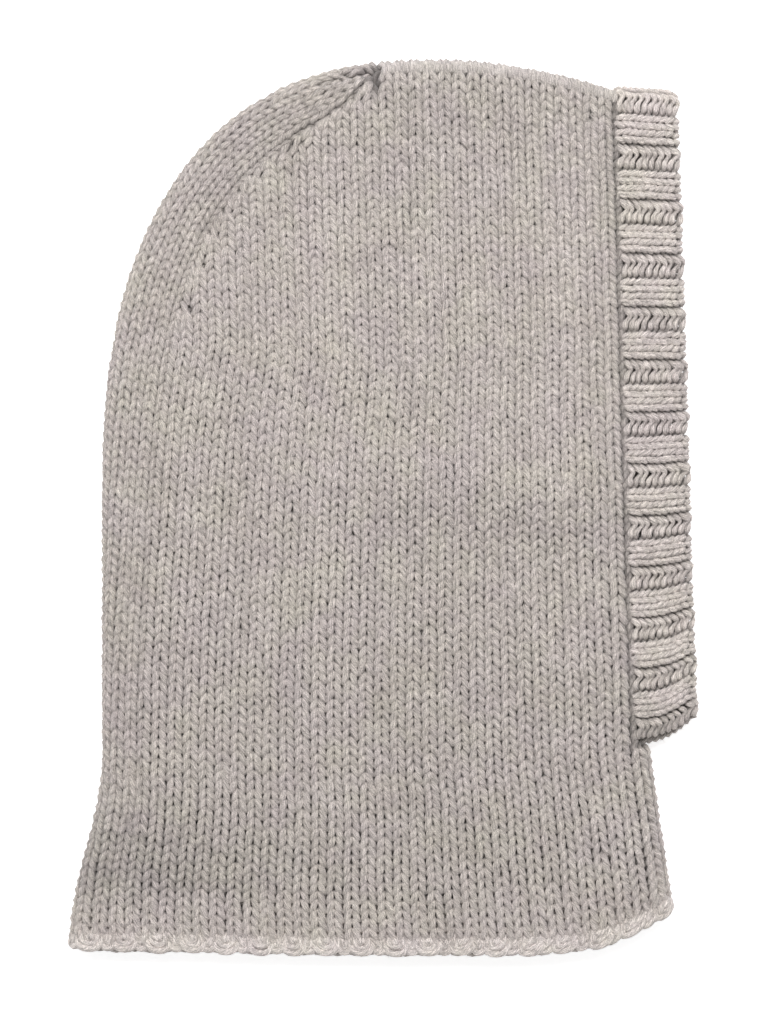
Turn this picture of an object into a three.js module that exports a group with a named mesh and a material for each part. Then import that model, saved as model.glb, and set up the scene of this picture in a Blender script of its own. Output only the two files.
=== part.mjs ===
// A hand-knitted hooded snood, lying flat on its left side.
// X runs from the back of the head to the face, Y from the hem to the crown, and Z up from the surface it lies on.
// Lengths are in millimetres. The origin is below the middle of the outline, on that surface.
import * as THREE from 'three';

// Thicknesses of the knitting and of the lying hood
const WALL = 5.5;                        // stocking stitch in a chunky yarn
const HOLLOW = 7.5;                      // room left between the two layers
const FOLD = (WALL + HOLLOW) / 2;        // radius of a soft fold, at the middle of the wall
const LOW = WALL / 2;                    // height of the lower layer's middle surface
const GAP = 0.3;                         // left between neighbouring pieces
const JOIN = 0.8;                        // left between pieces where a seam or a turned edge sits

// Back and crown outline: an upright back, a superellipse over the head and a slope down to the face
const BACK_X = -119.3;
const CROWN = { x: 24, y: 3, wide: 143.3, high: 187, power: 2.47 };
const BROW = { x: 99, drop: 13, power: 1.85 };
const NAPE_FLARE = { top: -107, bottom: -184, out: 13.8 };

// Front of the neck, the hem and the chin line
const THROAT = { top: -99, bottom: -172, xTop: 113, xBottom: 123 };
const HEM = { y: -190, liftFrom: 50, lift: 19.5, power: 3, backLift: 3.4 };
const CHIN = { y: -116, frontLift: 15, backLift: 4, frontX: 107.1 };
const ROW_MIDDLE_X = 7;                  // where the rows hang lowest

// Panel along the back of the head, and the seam over its top
const GUSSET = { half: 22.5, close: 18, endX: -2.5, turned: 7, turnFrom: -100, turnTo: 70 };
const SEAM_ANGLE = 0.98;                 // how far up the top fold the seam lies, in radians
const SEAM_YARN = 1.2;                   // radius of the seam's yarn

// Ribbed face band: its inner edge follows the panel, its outer edge leans forward towards the chin
const BAND = {
  innerTop: 99.6, innerMiddle: 103.4, innerChin: 107.6,
  outerTop: 124.6, outerMiddle: 128.6, outerChin: 132.6,
  top: 176.2, topSlope: -1.8, bottom: -100.6, bottomRise: 11.2, bottomPower: 2.3,
};
const RIBS = { count: 25, rise: 0.8, bulge: 1.0 };
const HEM_YARN = { radius: 2.75, scallop: 0.45, count: 36 };

// Soft swellings and dents of the upper layer
const SWELLS = [
  { x: -62, y: 70, wide: 55, high: 85, rise: 1.8 },      // back of the head
  { x: 62, y: 18, wide: 50, high: 30, rise: 2.2 },       // cheek
  { x: 78, y: -18, wide: 34, high: 10, rise: -0.8 },     // crease under the cheek
  { x: -92, y: -132, wide: 24, high: 22, rise: -0.9 },   // nape
  { x: 20, y: -176, wide: 110, high: 16, rise: 1.2 },    // hem
];

// How finely each piece is divided
const STEPS = { plain: 9, turn: 6, neckRows: 6, rows: 16, wrapRows: 6, bandWide: 3, yarn: 8 };

const lerp = (a, b, t) => a + (b - a) * t;
const clamp = (t) => Math.min(1, Math.max(0, t));
const smooth = (t) => clamp(t) ** 2 * (3 - 2 * clamp(t));
const range = (n) => Array.from({ length: n + 1 }, (_, i) => i / n);

// The outline that the eye sees, from the nape's hem corner up, over the crown and down to the brow
function silhouette() {
  const points = [];
  for (const t of range(40)) {
    const y = lerp(HEM.y + HEM.backLift, CROWN.y, t);
    const flare = smooth((NAPE_FLARE.top - y) / (NAPE_FLARE.top - NAPE_FLARE.bottom));
    points.push(new THREE.Vector2(BACK_X - NAPE_FLARE.out * flare, y));
  }
  for (const t of range(80).slice(1)) {
    const turn = (t * Math.PI) / 2;
    const x = CROWN.x - CROWN.wide * Math.cos(turn) ** (2 / CROWN.power);
    const y = CROWN.y + CROWN.high * Math.sin(turn) ** (2 / CROWN.power);
    points.push(new THREE.Vector2(x, y));
  }
  for (const t of range(20).slice(1)) {
    const x = lerp(CROWN.x, BROW.x + 3, t);
    const run = (x - CROWN.x) / (BROW.x - CROWN.x);
    points.push(new THREE.Vector2(x, CROWN.y + CROWN.high - BROW.drop * run ** BROW.power));
  }
  return points;
}

// The same outline at the middle of the wall, with its inward normals and running lengths
function middleOutline(points, inset) {
  const rows = points.map((p, i) => {
    const a = points[Math.max(0, i - 1)];
    const b = points[Math.min(points.length - 1, i + 1)];
    const along = b.clone().sub(a).normalize();
    const inward = new THREE.Vector2(along.y, -along.x);
    return { point: p.clone().addScaledVector(inward, inset), inward, length: 0 };
  });
  for (let i = 1; i < rows.length; i++) {
    rows[i].length = rows[i - 1].length + rows[i].point.distanceTo(rows[i - 1].point);
  }
  return rows;
}

const OUTLINE = middleOutline(silhouette(), WALL / 2);

// Finds a place on the outline where a rising quantity reaches a value
function placeOnOutline(quantity, value) {
  let i = 1;
  while (i < OUTLINE.length - 1 && quantity(OUTLINE[i]) < value) i++;
  const a = OUTLINE[i - 1];
  const b = OUTLINE[i];
  const t = clamp((value - quantity(a)) / (quantity(b) - quantity(a)));
  return {
    point: a.point.clone().lerp(b.point, t),
    inward: a.inward.clone().lerp(b.inward, t).normalize(),
    length: lerp(a.length, b.length, t),
  };
}

const CROWN_POINT = placeOnOutline((row) => row.point.x, GUSSET.endX);
const QUARTER = (Math.PI / 2) * FOLD;
const SEAM_ARC = SEAM_ANGLE * FOLD;
const SEAM_ROOM = SEAM_YARN + GAP;

// A place of the wall: the middle of its thickness and the way out of the hood
function place(x, y, height, out) {
  const lift = (swell(x, y) * height) / (2 * FOLD);
  return { at: new THREE.Vector3(x, y, LOW + height + lift), out };
}

const flatPlace = (x, y, side) => place(x, y, FOLD + side * FOLD, new THREE.Vector3(0, 0, side));

// Walks from the outline over the upper layer, or with a negative arc over the lower one
function onFold(row, arc) {
  const bend = Math.min(QUARTER, Math.max(-QUARTER, arc)) / FOLD;
  const plan = FOLD * (1 - Math.cos(bend)) + Math.max(0, Math.abs(arc) - QUARTER);
  const p = row.point.clone().addScaledVector(row.inward, plan);
  const out = new THREE.Vector3(-row.inward.x * Math.cos(bend), -row.inward.y * Math.cos(bend), Math.sin(bend));
  return place(p.x, p.y, FOLD + FOLD * Math.sin(bend), out);
}

// The gusset's edges as arcs from the outline: even up the back, both closing on the seam at the crown point.
// Towards the nape the panel has turned a little under.
function gussetArc(length, side) {
  const wide = GUSSET.half + QUARTER - FOLD;
  const open = 1 - Math.exp(-Math.max(0, CROWN_POINT.length - length) / GUSSET.close);
  const { y } = placeOnOutline((row) => row.length, length).point;
  const turned = GUSSET.turned * (1 - smooth((y - GUSSET.turnFrom) / (GUSSET.turnTo - GUSSET.turnFrom)));
  return SEAM_ARC + (side * wide - SEAM_ARC) * open - turned;
}

// Height of the outline's middle line over a place between the crown point and the brow
const topAt = (x) => placeOnOutline((row) => row.point.x, Math.min(x, BROW.x)).point.y;

// Level of the hem and of the chin row, which both rise towards the face and the nape
function hemLevel(x) {
  const front = clamp((x - HEM.liftFrom) / (THROAT.xBottom - HEM.liftFrom)) ** HEM.power;
  const back = clamp((ROW_MIDDLE_X - x) / (ROW_MIDDLE_X - BACK_X)) ** 2;
  return HEM.y + HEM_YARN.radius + HEM.lift * front + HEM.backLift * back;
}

function chinLevel(x) {
  const front = clamp((x - ROW_MIDDLE_X) / (CHIN.frontX - ROW_MIDDLE_X)) ** 1.5;
  const back = clamp((ROW_MIDDLE_X - x) / (ROW_MIDDLE_X - BACK_X)) ** 1.4;
  return CHIN.y + CHIN.frontLift * front + CHIN.backLift * back;
}

function swell(x, y) {
  const part = (s) => s.rise * Math.exp(-(((x - s.x) / s.wide) ** 2) - ((y - s.y) / s.high) ** 2);
  return SWELLS.reduce((sum, s) => sum + part(s), 0);
}

// The front edge of the hood panels, along which the face band starts
function panelFront(y) {
  const t = clamp((y - BAND.bottom) / (BAND.top - BAND.bottom));
  const bow = 4 * t * (1 - t);
  return lerp(BAND.innerChin, BAND.innerTop, t) + (BAND.innerMiddle - (BAND.innerChin + BAND.innerTop) / 2) * bow;
}

// Where a level line meets the back of the hood
function backRow(level) {
  return placeOnOutline((row) => row.point.y - level(row.point.x), 0);
}

// A wall of even thickness on a grid of places, closed round the first direction if asked
function wall(grid, thickness, closed) {
  const n = grid.length;
  const m = grid[0].length;
  const vertices = [];
  for (const side of [1, -1]) {
    for (const line of grid) {
      for (const { at, out } of line) vertices.push(...at.clone().addScaledVector(out, (side * thickness) / 2));
    }
  }
  const outer = (i, j) => (closed ? i % n : i) * m + j;
  const inner = (i, j) => n * m + outer(i, j);
  const { at, out } = grid[0][0];
  const first = grid[1][0].at.clone().sub(at);
  const flip = first.cross(grid[0][1].at.clone().sub(at)).dot(out) < 0;
  const faces = [];
  const quad = (a, b, c, d) => faces.push(...(flip ? [a, c, b, a, d, c] : [a, b, c, a, c, d]));
  const last = closed ? n : n - 1;
  for (let i = 0; i < last; i++) {
    for (let j = 0; j < m - 1; j++) {
      quad(outer(i, j), outer(i + 1, j), outer(i + 1, j + 1), outer(i, j + 1));
      quad(inner(i, j), inner(i, j + 1), inner(i + 1, j + 1), inner(i + 1, j));
    }
    quad(outer(i, 0), inner(i, 0), inner(i + 1, 0), outer(i + 1, 0));
    quad(outer(i, m - 1), outer(i + 1, m - 1), inner(i + 1, m - 1), inner(i, m - 1));
  }
  if (!closed) {
    for (let j = 0; j < m - 1; j++) {
      quad(outer(0, j), outer(0, j + 1), inner(0, j + 1), inner(0, j));
      quad(outer(n - 1, j), inner(n - 1, j), inner(n - 1, j + 1), outer(n - 1, j + 1));
    }
  }
  const geometry = new THREE.BufferGeometry();
  geometry.setAttribute('position', new THREE.Float32BufferAttribute(vertices, 3));
  geometry.setIndex(faces);
  geometry.computeVertexNormals();
  return geometry;
}

// A round yarn along a path, its radius given point by point, with flat ends or closed on itself
function yarn(path, radius, closed) {
  const n = path.length;
  const sides = STEPS.yarn;
  const vertices = [];
  for (let i = 0; i < n; i++) {
    const a = path[closed ? (i + n - 1) % n : Math.max(0, i - 1)];
    const b = path[closed ? (i + 1) % n : Math.min(n - 1, i + 1)];
    const along = b.clone().sub(a).normalize();
    const across = new THREE.Vector3(0, 1, 0);
    if (Math.abs(along.y) > 0.9) across.set(1, 0, 0);
    across.addScaledVector(along, -across.dot(along)).normalize();
    const third = along.clone().cross(across);
    for (let k = 0; k < sides; k++) {
      const turn = (k / sides) * 2 * Math.PI;
      const p = path[i].clone().addScaledVector(across, radius(i) * Math.cos(turn));
      vertices.push(...p.addScaledVector(third, radius(i) * Math.sin(turn)));
    }
  }
  const faces = [];
  for (let i = 0; i < (closed ? n : n - 1); i++) {
    for (let k = 0; k < sides; k++) {
      const a = i * sides + k;
      const b = i * sides + ((k + 1) % sides);
      const c = ((i + 1) % n) * sides + ((k + 1) % sides);
      const d = ((i + 1) % n) * sides + k;
      faces.push(a, b, c, a, c, d);
    }
  }
  if (!closed) {
    for (let k = 1; k < sides - 1; k++) {
      faces.push(0, k + 1, k);
      faces.push((n - 1) * sides, (n - 1) * sides + k, (n - 1) * sides + k + 1);
    }
  }
  const geometry = new THREE.BufferGeometry();
  geometry.setAttribute('position', new THREE.Float32BufferAttribute(vertices, 3));
  geometry.setIndex(faces);
  geometry.computeVertexNormals();
  return geometry;
}

// One closed round of the neck at a share of its height: over the top from throat to nape, and back below
function neckRound(share) {
  const level = (x) => lerp(hemLevel(x) + HEM_YARN.radius + GAP, chinLevel(x) - GAP, share);
  const back = backRow(level);
  const lean = new THREE.Vector2(THROAT.xBottom - THROAT.xTop, THROAT.bottom - THROAT.top).normalize();
  const throat = lerp(THROAT.xBottom, THROAT.xTop, share);
  const front = {
    point: new THREE.Vector2(throat - WALL / 2, 0),
    inward: new THREE.Vector2(lean.y, -lean.x),
  };
  const frontFold = (arc) => {
    const { at, out } = onFold(front, arc);
    return { at: at.setY(level(at.x)), out };
  };
  const frontX = frontFold(QUARTER).at.x;
  const half = (side) => {
    const fold = range(STEPS.turn).slice(0, -1).map((t) => frontFold(side * t * QUARTER));
    const edgeArc = gussetArc(back.length, side);
    const edge = onFold(back, edgeArc).at;
    const plain = range(STEPS.plain).map((t) => {
      const x = lerp(frontX, edge.x, t);
      return flatPlace(x, level(x) + (edge.y - level(edge.x)) * t, side);
    });
    const turn = range(STEPS.turn).slice(1);
    return [...fold, ...plain, ...turn.map((t) => onFold(back, edgeArc * (1 - t)))];
  };
  return [...half(1), ...half(-1).reverse().slice(1, -1)];
}

function neckTube() {
  const rounds = range(STEPS.neckRows).map(neckRound);
  const grid = rounds[0].map((_, i) => rounds.map((round) => round[i]));
  return wall(grid, WALL, true);
}

// Shares of the way from the chin row to the seam, closer together where a panel wraps over the top fold
const ROW_SHARES = [...range(STEPS.rows).map((t) => t * 0.945), ...range(STEPS.wrapRows).slice(1).map((t) => 0.945 + 0.055 * t)];
const CHIN_LENGTH = backRow((x) => chinLevel(x) + GAP).length;
const GUSSET_END = CROWN_POINT.length - 1.5;

// Where a row leaves the back, as a length of the outline
const backLength = (share) => lerp(CHIN_LENGTH, GUSSET_END, share * (0.8 + 0.2 * share));

// Lays a point given by its place and its length of knitting above the hem, rolled over the top fold
function rollOver(x, level, side) {
  const start = topAt(Math.max(x, GUSSET.endX)) - FOLD;
  const bend = x < GUSSET.endX ? 0 : Math.max(0, level - start) / FOLD;
  const y = bend > 0 ? start + FOLD * Math.sin(bend) : level;
  const out = new THREE.Vector3(0, Math.sin(bend), side * Math.cos(bend));
  return place(x, y, FOLD + side * FOLD * Math.cos(bend), out);
}

// A side panel between the face band and the gusset
function sidePanel(side) {
  const past = QUARTER - side * SEAM_ARC - SEAM_ROOM;
  const frontLow = chinLevel(CHIN.frontX) + GAP;
  const frontHigh = topAt(BROW.x) - FOLD + past;
  const seamLevel = (x) => topAt(x) - FOLD + past;
  const rows = ROW_SHARES.map((share) => {
    const back = placeOnOutline((row) => row.length, backLength(share));
    const arc = gussetArc(back.length, side) + side * GAP;
    const end = onFold(back, arc);
    const endLevel = side * arc < QUARTER ? topAt(end.at.x) - FOLD + QUARTER - side * arc : end.at.y;
    const frontLevel = lerp(frontLow, frontHigh, share);
    const frontX = panelFront(frontLevel) - JOIN;
    return range(STEPS.plain).map((t) => {
      if (t === 1) return end;
      const x = lerp(frontX, end.at.x, t);
      const low = chinLevel(x) - lerp(chinLevel(frontX), chinLevel(end.at.x), t);
      const high = seamLevel(Math.max(x, GUSSET.endX)) - lerp(seamLevel(frontX), seamLevel(GUSSET.endX), t);
      return rollOver(x, lerp(frontLevel, endLevel, t) + low * (1 - share) ** 2 + high * share ** 3, side);
    });
  });
  const grid = rows[0].map((_, i) => rows.map((row) => row[i]));
  return wall(grid, WALL, false);
}

// The panel along the back of the head, folded in half along the outline
function backGusset() {
  const rows = ROW_SHARES.map((share) => {
    const row = placeOnOutline((r) => r.length, backLength(share));
    const upper = gussetArc(row.length, 1);
    const lower = gussetArc(row.length, -1);
    return range(2 * STEPS.turn).map((t) => onFold(row, lerp(upper, lower, t)));
  });
  const grid = rows[0].map((_, i) => rows.map((row) => row[i]));
  return wall(grid, WALL, false);
}

// One rib line of the band, a loop round the face opening at a share of the band's width
function bandLoop(wide) {
  const top = BAND.top + BAND.topSlope * wide - WALL / 2;
  const bottom = BAND.bottom + BAND.bottomRise * wide ** BAND.bottomPower + WALL / 2;
  const flat = top - bottom - 2 * FOLD;
  const total = 2 * (flat + 2 * QUARTER);
  const points = [];
  for (let rib = 0; rib < RIBS.count; rib++) {
    for (const part of [0.04, 0.46, 0.54, 0.96]) {
      const proud = part < 0.5 ? 1 : -1;
      const along = ((rib + part) / RIBS.count) * total;
      const below = along >= total / 2 ? -1 : 1;
      const run = below < 0 ? along - total / 2 : along;
      const bend = Math.max(0, run - flat) / FOLD;
      const radius = FOLD + RIBS.rise * proud;
      const y = (top + bottom) / 2 + below * (Math.min(run, flat) - flat / 2 + radius * Math.sin(bend));
      const rest = below * Math.cos(bend) < 0 ? RIBS.rise * Math.abs(Math.cos(bend)) : 0;
      const height = FOLD + below * radius * Math.cos(bend) + rest;
      const t = clamp((y - bottom) / (top - bottom));
      const outer = lerp(BAND.outerChin, BAND.outerTop, t)
        + (BAND.outerMiddle - (BAND.outerChin + BAND.outerTop) / 2) * 4 * t * (1 - t);
      const edge = outer - (RIBS.bulge * (1 + proud)) / 2;
      const out = new THREE.Vector3(0, below * Math.sin(bend), below * Math.cos(bend));
      points.push(place(lerp(panelFront(y), edge, wide), y, height, out));
    }
  }
  return points;
}

function faceBand() {
  const loops = range(STEPS.bandWide).map(bandLoop);
  const grid = loops[0].map((_, i) => loops.map((loop) => loop[i]));
  return wall(grid, WALL, true);
}

// The seam that closes the top, from the crown point to the brow
function crownSeam() {
  const path = range(24).map((t) => {
    const x = lerp(GUSSET.endX + 1.5, BROW.x - 1.5, t);
    return rollOver(x, topAt(x) - FOLD + QUARTER - SEAM_ARC, 1).at;
  });
  return yarn(path, () => SEAM_YARN, false);
}

// The cast-on edge, a plump yarn round the hem with one scallop to every two stitches
function hemEdge() {
  const rounds = neckRound(0);
  const curve = new THREE.CatmullRomCurve3(rounds.map(({ at }) => at.clone().setY(at.y - HEM_YARN.radius - GAP)), true);
  const count = 2 * HEM_YARN.count;
  const path = curve.getSpacedPoints(count).slice(0, -1);
  return yarn(path, (i) => HEM_YARN.radius - (i % 2) * HEM_YARN.scallop, true);
}

// The knitting, with the colour of an undyed heathered wool
function wool(name, geometry, color) {
  const mesh = new THREE.Mesh(geometry, new THREE.MeshStandardMaterial({ color, roughness: 0.95, metalness: 0 }));
  mesh.name = name;
  return mesh;
}

const snood = new THREE.Group();
snood.name = 'snood';
snood.add(wool('neck_tube', neckTube(), 0xb8aea8));
snood.add(wool('right_side', sidePanel(1), 0xb8aea8));
snood.add(wool('left_side', sidePanel(-1), 0xb8aea8));
snood.add(wool('back_gusset', backGusset(), 0xb5aba5));
snood.add(wool('face_band', faceBand(), 0xbab1ab));
snood.add(wool('crown_seam', crownSeam(), 0xb8aea8));
snood.add(wool('hem_edge', hemEdge(), 0xbeb5af));

export default snood;
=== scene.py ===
import bpy
import numpy as np
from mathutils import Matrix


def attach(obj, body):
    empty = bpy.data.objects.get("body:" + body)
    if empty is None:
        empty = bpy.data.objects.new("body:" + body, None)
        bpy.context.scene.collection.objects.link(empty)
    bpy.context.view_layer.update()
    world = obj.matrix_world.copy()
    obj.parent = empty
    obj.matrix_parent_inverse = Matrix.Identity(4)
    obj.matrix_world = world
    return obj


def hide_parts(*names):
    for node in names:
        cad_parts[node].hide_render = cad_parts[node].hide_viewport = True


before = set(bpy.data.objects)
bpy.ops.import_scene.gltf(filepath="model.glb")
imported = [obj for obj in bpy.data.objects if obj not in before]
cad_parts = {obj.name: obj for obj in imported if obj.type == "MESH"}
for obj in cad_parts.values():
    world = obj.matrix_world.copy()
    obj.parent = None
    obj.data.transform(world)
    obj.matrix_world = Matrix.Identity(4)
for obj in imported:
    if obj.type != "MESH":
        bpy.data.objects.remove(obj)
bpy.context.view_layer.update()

# A chunky hand-knitted hooded snood, lying flat on its left side with its face opening to the right.
# Every row of knitting is a round yarn bent into loops and laid on the cloth's surface. Lengths are worked out
# in millimetres and become metres where a mesh is made.


# The camera
# It looks straight down on the lying hood, through a long lens so that nothing leans.
CAMERA_LENS = 85.0
SENSOR = 36.0
VIEW_HEIGHT = 0.4334                    # how much of the floor the picture's long side takes in
VIEW_CENTRE = (0.0004, -0.0021, 0.0100)

camera_data = bpy.data.cameras.new("camera")
camera_data.lens = CAMERA_LENS
camera_data.sensor_width = SENSOR
camera = bpy.data.objects.new("camera", camera_data)
camera.location = (VIEW_CENTRE[0], VIEW_CENTRE[1], VIEW_CENTRE[2] + VIEW_HEIGHT * CAMERA_LENS / SENSOR)
bpy.context.scene.collection.objects.link(camera)
bpy.context.scene.camera = camera


# The neck
# Seventy-four stocking stitches in the round, knitted upwards from the cast-on edge to the chin. It lies folded
# flat, so each round crosses the upper layer, turns under at the back and comes home along the lower layer.
MM = 0.001
WALL = 5.5
FOLD = 6.5                              # radius of a fold, at the middle of the cloth
LOW = WALL / 2                          # height of the lower layer's middle
QUARTER = np.pi / 2 * FOLD

BACK_X = -119.3
CROWN_X, CROWN_Y, CROWN_WIDE, CROWN_HIGH, CROWN_POWER = 24.0, 3.0, 143.3, 187.0, 2.47
BROW_X, BROW_DROP, BROW_POWER = 99.0, 13.0, 1.85
OUTLINE_SPARE, TOP_SPARE = 12.0, 8.0    # how far past the brow the outline and the top are worked out
NAPE_TOP, NAPE_BOTTOM, NAPE_OUT = -107.0, -184.0, 13.8
OUTLINE_BOTTOM = -190.0
BACK_POINTS, CROWN_POINTS, BROW_POINTS = 41, 81, 31
THROAT_TOP, THROAT_BOTTOM, THROAT_TOP_X, THROAT_BOTTOM_X = -99.0, -172.0, 113.0, 123.0
CROWN_POINT_X = -2.5                    # where the gusset ends and the seam along the top starts
SEAM_ARC = 0.98 * FOLD                  # how far over the top fold the seam lies
SEAM_ROOM = 1.5
BACK_TURN = 7.0                         # how far the middle of the back has turned under at the nape

ROUND_STITCHES = 74
FIRST_ROW_Y = -183.6
ROW_PITCH = 3.83
ROW_COUNT = 96
NECK_ROWS = 18
JOIN_STITCHES = (0, 1, 32, 42, 73, 74)  # the last round's stitches under the face edge and the gusset's edges
JOIN_RUNS = (0, 6.9, 215.1, 267.5, 461.7, 468.6)

LOWEST_X = 3.0                          # where the rows hang lowest
BACK_REACH, BACK_POWER = 119.6, 1.5
FACE_REACH, FACE_POWER = 105.8, 1.6
REACH_MOST = 1.1
BACK_CLIMB = np.array([                 # level of a row's middle, how much higher it lies at the back
    (-187, 1.5),
    (-110, 3.5),
    (-35, 9.5),
    (50, 17),
    (115, 18),
    (150, 12),
    (186, 0),
])
FACE_CLIMB = np.array([                 # level of a row's middle, how much higher it lies at the face
    (-187, 13),
    (-150, 13),
    (-90, 15.5),
    (-30, 16),
    (40, 11.8),
    (92, 5),
    (186, 3),
])
HEM_LEVEL, HEM_BLEND = -187.0, 45.0     # the first rounds follow the hem's lift at the throat
HEM_LIFT, HEM_LIFT_X, HEM_LIFT_WIDE, HEM_LIFT_MOST, HEM_LIFT_POWER = 19.5, 50.0, 73.0, 1.05, 3
TOP_LEVEL, TOP_BLEND = 85.0, 99.0       # the last rows follow the seam
THROAT_SPARE = 0.1                      # share of the throat's slope that runs on past both its ends
THROAT_X, NAPE_X = 115.0, -119.0        # where a round's level is read for its ends at the throat and the nape

SWELLS = np.array([                     # x, y, half width, half height, rise
    (-62, 70, 55, 85, 1.8),
    (62, 7, 46, 16, 4.4),
    (2, 12, 50, 18, 2.3),
    (78, -24, 34, 10, -1.8),
    (64, 54, 28, 9, -1.6),
    (-75, -128, 55, 24, 2.7),
    (-90, -168, 60, 18, -3.9),
    (58, 157, 70, 18, -2.6),
    (20, -193, 110, 15, 2.0),
    (100, -118, 26, 14, -1.6),
    (88, -70, 22, 15, 2.9),
])


def smooth(t):
    """Eases from 0 to 1 with level ends: three squares less two cubes."""
    t = np.clip(t, 0, 1)
    return t * t * (3 - 2 * t)


def mix(a, b, t):
    """A share t of the way from a to b."""
    return a + (b - a) * t


def spot(x, y, at_x, at_y, wide, high):
    """A soft spot that is 1 in its middle: a Gaussian in x and y."""
    return np.exp(-((x - at_x) / wide) ** 2 - ((y - at_y) / high) ** 2)


def visible_outline():
    """The outline from the nape up the back, over the crown and down to the brow. The back is straight and
    flares out smoothly at the nape, the crown is a quarter of a superellipse, and the brow falls away as a
    power of x."""
    up = np.linspace(OUTLINE_BOTTOM, CROWN_Y, BACK_POINTS)
    back_x = BACK_X - NAPE_OUT * smooth((NAPE_TOP - up) / (NAPE_TOP - NAPE_BOTTOM))
    turn = np.linspace(0, np.pi / 2, CROWN_POINTS)[1:]
    crown_x = CROWN_X - CROWN_WIDE * np.cos(turn) ** (2 / CROWN_POWER)
    crown_y = CROWN_Y + CROWN_HIGH * np.sin(turn) ** (2 / CROWN_POWER)
    brow_x = np.linspace(CROWN_X, BROW_X + OUTLINE_SPARE, BROW_POINTS)[1:]
    brow_y = CROWN_Y + CROWN_HIGH - BROW_DROP * ((brow_x - CROWN_X) / (BROW_X - CROWN_X)) ** BROW_POWER
    return np.concatenate([back_x, crown_x, brow_x]), np.concatenate([up, crown_y, brow_y])


outline_x, outline_y = visible_outline()
along = np.stack([np.gradient(outline_x), np.gradient(outline_y)])
inward_x, inward_y = np.stack([along[1], -along[0]]) / np.hypot(*along)
outline_x = outline_x + inward_x * WALL / 2
outline_y = outline_y + inward_y * WALL / 2


def top_at(x):
    """Height in Y of the folded top over a place between the crown point and the brow."""
    return np.interp(np.clip(x, CROWN_POINT_X, BROW_X + TOP_SPARE), outline_x[BACK_POINTS:],
                     outline_y[BACK_POINTS:])


def seam_level(x):
    """Level at which the upper panel ends, just short of the seam, unrolled from the top fold."""
    return top_at(x) - FOLD + QUARTER - SEAM_ARC - SEAM_ROOM


def swelling(x, y):
    """How far the upper layer stands proud: the sum of a few soft spots."""
    rise = np.zeros(np.broadcast(x, y).shape)
    for at_x, at_y, wide, high, proud in SWELLS:
        rise = rise + proud * spot(x, y, at_x, at_y, wide, high)
    return rise


def placed(x, y, height, out_x, out_y, out_z):
    """Points of the cloth's middle at a height above the lower layer, lifted by the swelling in step with that
    height, with the unit vectors that point out of the hood."""
    x, y, height = np.broadcast_arrays(x, y, height)
    z = LOW + height + swelling(x, y) * height / (2 * FOLD)
    out = [np.broadcast_to(part, x.shape) for part in (out_x, out_y, out_z)]
    return np.stack([x, y, z], -1), np.stack(out, -1)


def row_level(x, row):
    """Height in Y of a row across the cloth. Rows sag in the middle and climb as a power of the distance
    towards the back and the face, and near the top they follow the seam instead."""
    middle = FIRST_ROW_Y + ROW_PITCH * row
    back_climb = np.interp(middle, *BACK_CLIMB.T)
    face_climb = np.interp(middle, *FACE_CLIMB.T)
    back = back_climb * np.clip((LOWEST_X - x) / BACK_REACH, 0, REACH_MOST) ** BACK_POWER
    face = face_climb * np.clip((x - LOWEST_X) / FACE_REACH, 0, REACH_MOST) ** FACE_POWER
    hem = smooth(1 - (middle - HEM_LEVEL) / HEM_BLEND)
    lift = HEM_LIFT * np.clip((x - HEM_LIFT_X) / HEM_LIFT_WIDE, 0, HEM_LIFT_MOST) ** HEM_LIFT_POWER
    face = mix(face, lift, hem)
    top = smooth((middle - TOP_LEVEL) / TOP_BLEND)
    return middle + (1 - top) * (back + face) + top * (seam_level(x) - seam_level(LOWEST_X))


def neck_place(stitch, row):
    """A place of the neck by its stitch, counted from the throat over the upper layer, and its row. The first
    round is shared out evenly on each side of the middle of the back, and by the last one each stitch is as
    wide as the hood's stitch over it."""
    fall = (row_level(THROAT_X, row) - THROAT_TOP) / (THROAT_BOTTOM - THROAT_TOP)
    throat = mix(THROAT_TOP_X, THROAT_BOTTOM_X, np.clip(fall, -THROAT_SPARE, 1 + THROAT_SPARE)) - WALL / 2
    back = np.interp(row_level(NAPE_X, row), outline_y[:BACK_POINTS], outline_x[:BACK_POINTS])
    half = throat - back - 2 * FOLD + 2 * QUARTER
    middle = ROUND_STITCHES / 2
    run = np.where(stitch < middle, stitch / middle * (half + BACK_TURN),
                   2 * half - (2 * middle - stitch) / middle * (half - BACK_TURN))
    joined = np.interp(stitch, JOIN_STITCHES, JOIN_RUNS) * 2 * half / JOIN_RUNS[-1]
    run = mix(run, joined, np.clip(row / NECK_ROWS, 0, 1))
    side = np.where(run > half, -1, 1)
    run = np.where(run > half, 2 * half - run, run)
    face_bend = np.clip(QUARTER - run, 0, None) / FOLD
    back_bend = np.clip(run - half + QUARTER, 0, None) / FOLD
    x = throat - FOLD - run + QUARTER
    x = np.where(face_bend > 0, throat - FOLD + FOLD * np.sin(face_bend), x)
    x = np.where(back_bend > 0, back + FOLD - FOLD * np.sin(back_bend), x)
    rise = side * np.cos(face_bend) * np.cos(back_bend)
    return placed(x, row_level(x, row), FOLD + FOLD * rise, np.sin(face_bend) - np.sin(back_bend), 0.0, rise)


UNEVEN_ACROSS, UNEVEN_RISE, UNEVEN_DEPTH, UNEVEN_THICK = 0.035, 0.07, 0.12, 0.045
YARN_TIGHT, YARN_EASY, YARN_EASING = 0.72, 1.03, 1.3    # shares of the radius where it dives and lies easy
YARN_START = 50.0                       # a strand's heather starts anywhere in this length of yarn

draws = np.random.default_rng(20)


def wandering(t, amount):
    """A small unevenness of hand knitting: one seeded draw to each half stitch, joined by straight lines."""
    knots = np.arange(np.floor(t[0] * 2), np.ceil(t[-1] * 2) + 2)
    return np.interp(t * 2, knots, draws.normal(0, amount, len(knots)))


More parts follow.
